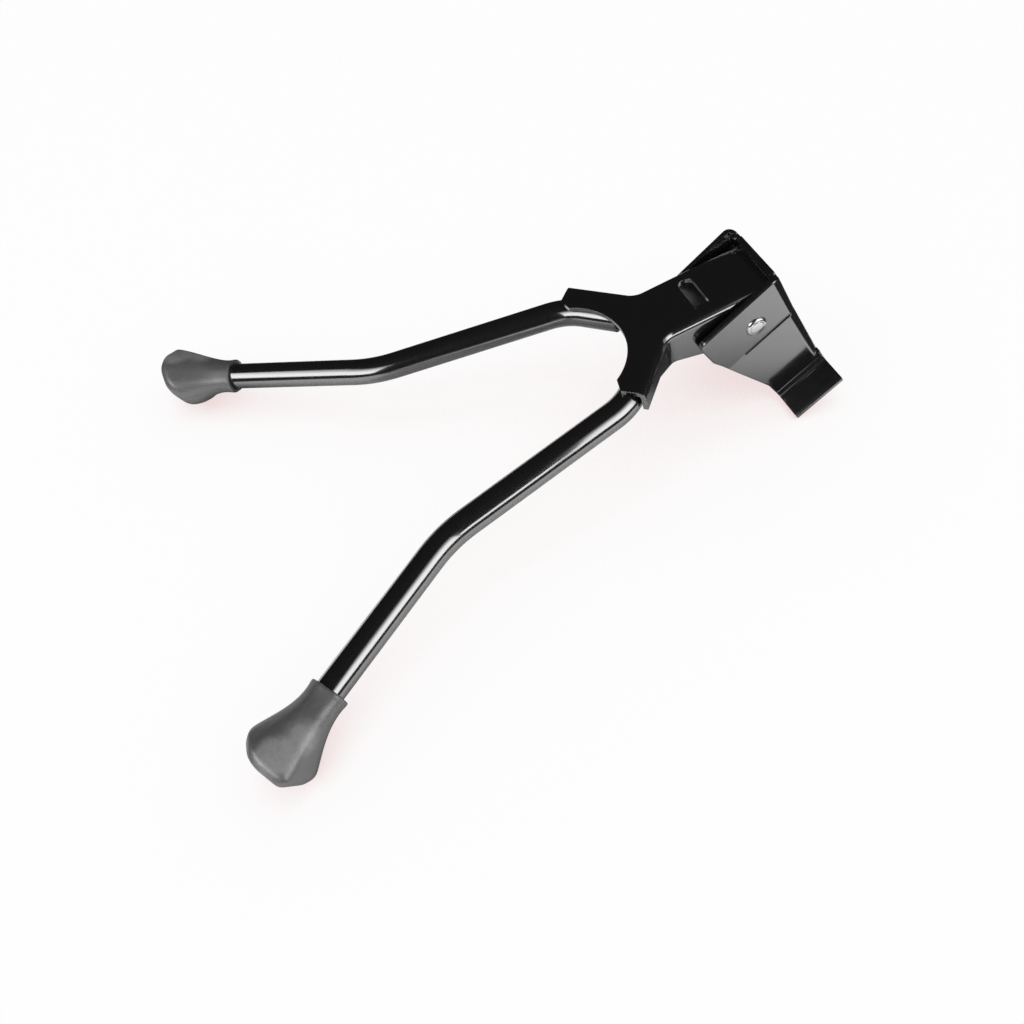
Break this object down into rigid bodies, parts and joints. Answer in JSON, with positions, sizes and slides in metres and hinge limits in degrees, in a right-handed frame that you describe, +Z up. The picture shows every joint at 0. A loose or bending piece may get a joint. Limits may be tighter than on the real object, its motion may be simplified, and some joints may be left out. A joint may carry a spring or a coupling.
{
  "type": "bicycle kickstand",
  "caption": "Two-leg centre kickstand: tubular legs with moulded feet in a pressed yoke that folds in a bracket bolted under the chainstays.",
  "frame": {"origin": "on the table, under the middle of the box round the stand as it lies", "axes": "+Z up, +Y along the stand from the feet to the bracket, +X to the bicycle's left"},
  "size_m": [0.2844, 0.332, 0.0771],
  "materials": {
    "black_paint": "gloss",
    "foot_plastic": "matte",
    "zinc": "satin",
    "spring_steel": "satin"
  },
  "bodies": {
    "legs": {"leg_yoke": "black_paint", "left_leg": "black_paint", "right_leg": "black_paint", "left_foot": "foot_plastic", "right_foot": "foot_plastic", "return_spring": "spring_steel"},
    "bracket": {"bracket": "black_paint", "left_pivot_rivet": "zinc", "right_pivot_rivet": "zinc", "left_pivot_washer": "zinc", "right_pivot_washer": "zinc"}
  },
  "joints": [
    {"name": "fold", "type": "hinge", "parent": "legs", "child": "bracket", "pos_m": [0, 0.12589, 0.05211], "axis": [-1, 0, 0], "range_deg": [0, 104], "deforming": ["return_spring"]}
  ]
}
